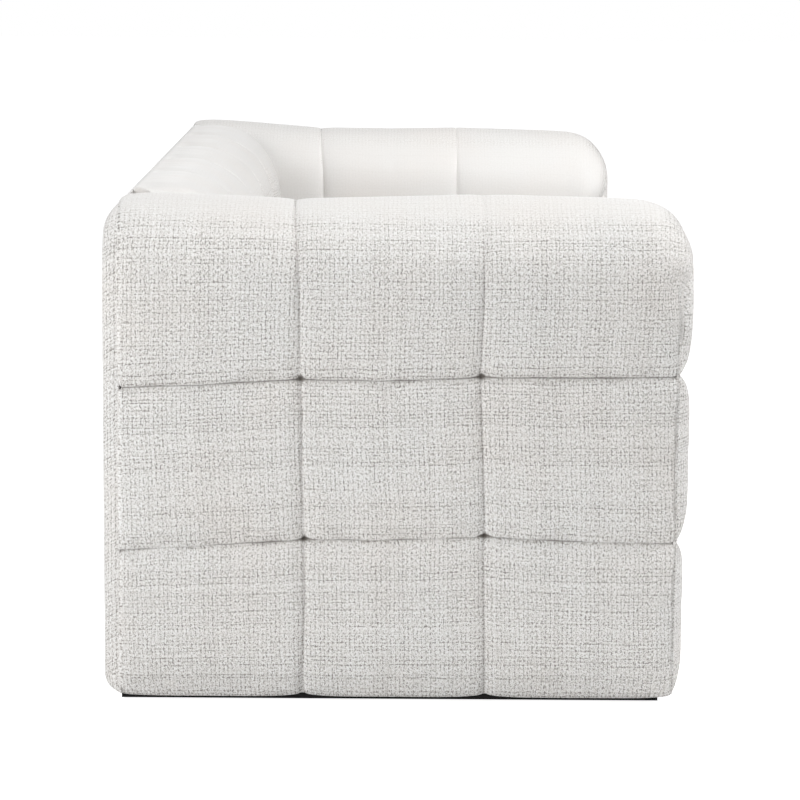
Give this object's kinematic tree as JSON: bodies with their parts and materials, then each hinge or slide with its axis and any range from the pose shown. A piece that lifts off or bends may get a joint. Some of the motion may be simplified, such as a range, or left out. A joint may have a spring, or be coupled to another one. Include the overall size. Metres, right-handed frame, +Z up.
{
  "type": "tuxedo sofa",
  "caption": "Tuxedo sofa with arms level with the back, square pillow tufting, a plain outside back, a lift-out bench seat cushion and a low black plinth.",
  "frame": {"origin": "on the floor, under the middle of the sofa's length and depth", "axes": "+Z up, +X along the sofa to the right of someone who faces its front, front faces -Y"},
  "size_m": [1.9, 0.85, 0.73],
  "materials": {
    "upholstery": "matte",
    "deck_cloth": "matte",
    "zip_tape": "matte",
    "foam": "matte",
    "felt": "matte",
    "webbing": "matte",
    "twine": "matte",
    "hardwood": "matte",
    "plywood": "matte",
    "plinth": "satin",
    "glide": "matte",
    "dust_cover": "matte",
    "spring_steel": "satin",
    "zinc_steel": "satin"
  },
  "bodies": {
    "sofa_body": {"left_arm_cover": "upholstery", "right_arm_cover": "upholstery", "back_cover": "upholstery", "outside_back_panel": "upholstery", "front_rail_cover": "upholstery", "left_arm_foam": "foam", "right_arm_foam": "foam", "back_foam": "foam", "front_rail_foam": "foam", "left_arm_outer_panel": "plywood", "left_arm_inner_panel": "plywood", "left_arm_front_post": "hardwood", "left_arm_rear_post": "hardwood", "left_arm_top_rail": "hardwood", "left_arm_base_rail": "hardwood", "right_arm_outer_panel": "plywood", "right_arm_inner_panel": "plywood", "right_arm_front_post": "hardwood", "right_arm_rear_post": "hardwood", "right_arm_top_rail": "hardwood", "right_arm_base_rail": "hardwood", "back_top_rail": "hardwood", "back_bottom_rail": "hardwood", "back_end_posts": "plywood", "back_stiles": "plywood", "back_webbing": "webbing", "seat_front_rail": "hardwood", "seat_rear_rail": "hardwood", "seat_side_rails": "hardwood", "seat_stretchers": "hardwood", "corner_blocks": "hardwood", "seat_springs": "spring_steel", "spring_clips": "zinc_steel", "spring_tie_wires": "spring_steel", "spring_insulator": "felt", "deck_pad": "foam", "deck_cloth": "deck_cloth", "left_arm_tufting_twine": "twine", "right_arm_tufting_twine": "twine", "back_tufting_twine": "twine", "arm_bolts": "zinc_steel", "tee_nuts": "zinc_steel", "plinth_front_rail": "plinth", "plinth_rear_rail": "plinth", "plinth_left_rail": "plinth", "plinth_right_rail": "plinth", "floor_glides": "glide", "dust_cover": "dust_cover"},
    "seat_cushion": {"seat_cushion_cover": "upholstery", "seat_cushion_core": "foam", "seat_cushion_zip": "zip_tape"}
  },
  "joints": [
    {"name": "seat_cushion_lift", "type": "slide", "parent": "sofa_body", "child": "seat_cushion", "axis": [0, 0, 1], "range_m": [0, 0.5]}
  ]
}
